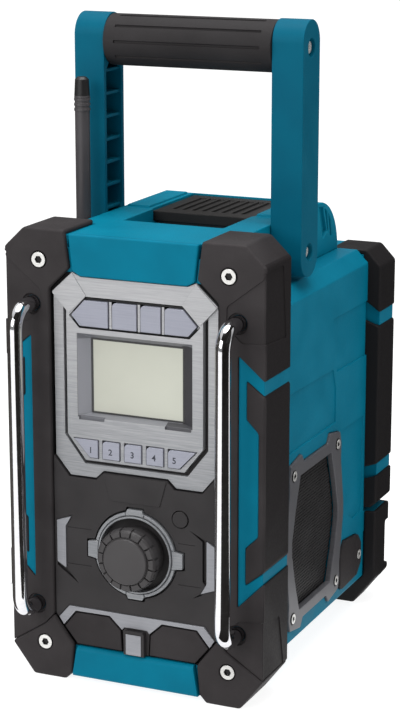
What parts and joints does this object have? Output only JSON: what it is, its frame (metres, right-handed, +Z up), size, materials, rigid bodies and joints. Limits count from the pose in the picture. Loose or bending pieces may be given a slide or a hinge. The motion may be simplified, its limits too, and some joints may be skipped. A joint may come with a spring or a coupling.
{
  "type": "jobsite radio",
  "caption": "Portable site radio with rubber bumpers, guard bars, a folding carry handle, side speakers, a display with keys, a tuning knob and a battery bay behind a rear door.",
  "frame": {"origin": "centre of the whole object's footprint box, on the surface it stands on", "axes": "+Z up, controls facing -Y, +X to the right of someone facing the controls"},
  "size_m": [0.163, 0.2444, 0.388],
  "materials": {
    "teal_plastic": "moulded, fine satin texture",
    "bumper_rubber": "matt moulded rubber",
    "panel_plastic": "fine spark texture",
    "silver_trim": "brushed metallic paint",
    "bright_chrome": "polished",
    "screw_steel": "zinc plated",
    "display_glass": "clear window over a grey-green display",
    "key_plastic": "satin painted plastic",
    "grille_metal": "powder coated",
    "circuit_board": "solder mask",
    "inner_plastic": "moulded",
    "speaker_cone": "paper cone and pressed basket",
    "grip_rubber": "ribbed soft grip"
  },
  "bodies": {
    "radio": {"front_housing": "teal_plastic", "main_housing": "teal_plastic", "top_cover": "teal_plastic", "rear_base": "teal_plastic", "badge_panel": "teal_plastic", "control_panel": "panel_plastic", "display_fascia": "silver_trim", "display_lens": "display_glass", "display_module": "circuit_board", "key_mat": "inner_plastic", "main_board": "circuit_board", "power_board": "circuit_board", "encoder_body": "inner_plastic", "knob_bezel": "silver_trim", "panel_trims": "silver_trim", "aux_jack": "inner_plastic", "usb_socket": "screw_steel", "lower_trim": "teal_plastic", "front_bumper_left": "bumper_rubber", "front_bumper_right": "bumper_rubber", "middle_bumpers": "bumper_rubber", "foot_caps": "bumper_rubber", "guard_bars": "bright_chrome", "case_screws": "screw_steel", "speaker_left": "speaker_cone", "speaker_right": "speaker_cone", "grille_frames": "silver_trim", "grille_meshes": "grille_metal", "battery_terminal": "inner_plastic", "dc_jack": "inner_plastic", "pivot_pins": "screw_steel", "rear_feet": "bumper_rubber", "door_hinge_pin": "screw_steel", "dc_cover_tab": "bumper_rubber"},
    "handle": {"handle_arm_left": "teal_plastic", "handle_arm_right": "teal_plastic", "grip_core": "screw_steel", "grip_sleeve": "grip_rubber", "handle_screws": "screw_steel"},
    "rear_door": {"battery_door": "teal_plastic", "door_bumpers": "bumper_rubber"},
    "latch": {"door_latch": "panel_plastic"},
    "battery": {"battery_pack": "inner_plastic"},
    "antenna": {"antenna": "panel_plastic"},
    "push_switch": {"encoder_plunger": "screw_steel"},
    "knob": {"encoder_shaft": "screw_steel", "tuning_knob": "panel_plastic"},
    "power_key": {"power_key": "key_plastic"},
    "source_key": {"source_key": "key_plastic"},
    "seek_key": {"seek_key": "key_plastic"},
    "alarm_key": {"alarm_key": "key_plastic"},
    "preset_key_1": {"preset_key_1": "key_plastic"},
    "preset_key_2": {"preset_key_2": "key_plastic"},
    "preset_key_3": {"preset_key_3": "key_plastic"},
    "preset_key_4": {"preset_key_4": "key_plastic"},
    "preset_key_5": {"preset_key_5": "key_plastic"},
    "info_key": {"info_key": "panel_plastic"},
    "aux_flap": {"aux_flap": "bumper_rubber"},
    "usb_flap": {"usb_flap": "bumper_rubber"},
    "dc_flap": {"dc_flap": "bumper_rubber"}
  },
  "joints": [
    {"name": "handle_fold", "type": "hinge", "parent": "radio", "child": "handle", "pos_m": [0, -0.00975, 0.2533], "axis": [-1, 0, 0], "range_deg": [0, 90]},
    {"name": "rear_door_hinge", "type": "hinge", "parent": "radio", "child": "rear_door", "pos_m": [0, 0.11575, 0.061], "axis": [-1, 0, 0], "range_deg": [0, 90]},
    {"name": "latch_lift", "type": "hinge", "parent": "radio", "child": "latch", "pos_m": [0, 0.05825, 0.2655], "axis": [-1, 0, 0], "range_deg": [0, 15], "stiffness_Nm_per_rad": 0.6},
    {"name": "battery_slide", "type": "slide", "parent": "radio", "child": "battery", "axis": [0, 0, 1], "range_m": [0, 0.026]},
    {"name": "antenna_bend", "type": "hinge", "parent": "radio", "child": "antenna", "pos_m": [-0.0615, -0.03575, 0.248], "axis": [1, 0, 0], "range_deg": [0, 30], "stiffness_Nm_per_rad": 0.3},
    {"name": "knob_press", "type": "slide", "parent": "radio", "child": "push_switch", "axis": [0, 1, 0], "range_m": [0, 0.0006], "stiffness_N_per_m": 1500},
    {"name": "knob_turn", "type": "hinge", "parent": "push_switch", "child": "knob", "pos_m": [0, -0.0977, 0.084], "axis": [0, -1, 0], "continuous": true},
    {"name": "power_key_press", "type": "slide", "parent": "radio", "child": "power_key", "axis": [0, 1, 0], "range_m": [0, 0.001], "stiffness_N_per_m": 800},
    {"name": "source_key_press", "type": "slide", "parent": "radio", "child": "source_key", "axis": [0, 1, 0], "range_m": [0, 0.001], "stiffness_N_per_m": 800},
    {"name": "seek_key_press", "type": "slide", "parent": "radio", "child": "seek_key", "axis": [0, 1, 0], "range_m": [0, 0.001], "stiffness_N_per_m": 800},
    {"name": "alarm_key_press", "type": "slide", "parent": "radio", "child": "alarm_key", "axis": [0, 1, 0], "range_m": [0, 0.001], "stiffness_N_per_m": 800},
    {"name": "preset_key_1_press", "type": "slide", "parent": "radio", "child": "preset_key_1", "axis": [0, 1, 0], "range_m": [0, 0.001], "stiffness_N_per_m": 800},
    {"name": "preset_key_2_press", "type": "slide", "parent": "radio", "child": "preset_key_2", "axis": [0, 1, 0], "range_m": [0, 0.001], "stiffness_N_per_m": 800},
    {"name": "preset_key_3_press", "type": "slide", "parent": "radio", "child": "preset_key_3", "axis": [0, 1, 0], "range_m": [0, 0.001], "stiffness_N_per_m": 800},
    {"name": "preset_key_4_press", "type": "slide", "parent": "radio", "child": "preset_key_4", "axis": [0, 1, 0], "range_m": [0, 0.001], "stiffness_N_per_m": 800},
    {"name": "preset_key_5_press", "type": "slide", "parent": "radio", "child": "preset_key_5", "axis": [0, 1, 0], "range_m": [0, 0.001], "stiffness_N_per_m": 800},
    {"name": "info_key_press", "type": "slide", "parent": "radio", "child": "info_key", "axis": [0, 1, 0], "range_m": [0, 0.001], "stiffness_N_per_m": 800},
    {"name": "aux_flap_hinge", "type": "hinge", "parent": "radio", "child": "aux_flap", "pos_m": [-0.024, -0.09655, 0.023], "axis": [1, 0, 0], "range_deg": [0, 90]},
    {"name": "usb_flap_hinge", "type": "hinge", "parent": "radio", "child": "usb_flap", "pos_m": [0.024, -0.09655, 0.023], "axis": [1, 0, 0], "range_deg": [0, 90]},
    {"name": "dc_flap_hinge", "type": "hinge", "parent": "radio", "child": "dc_flap", "pos_m": [0.0753, 0.07415, 0.041], "axis": [0, 0, 1], "range_deg": [0, 100]}
  ]
}
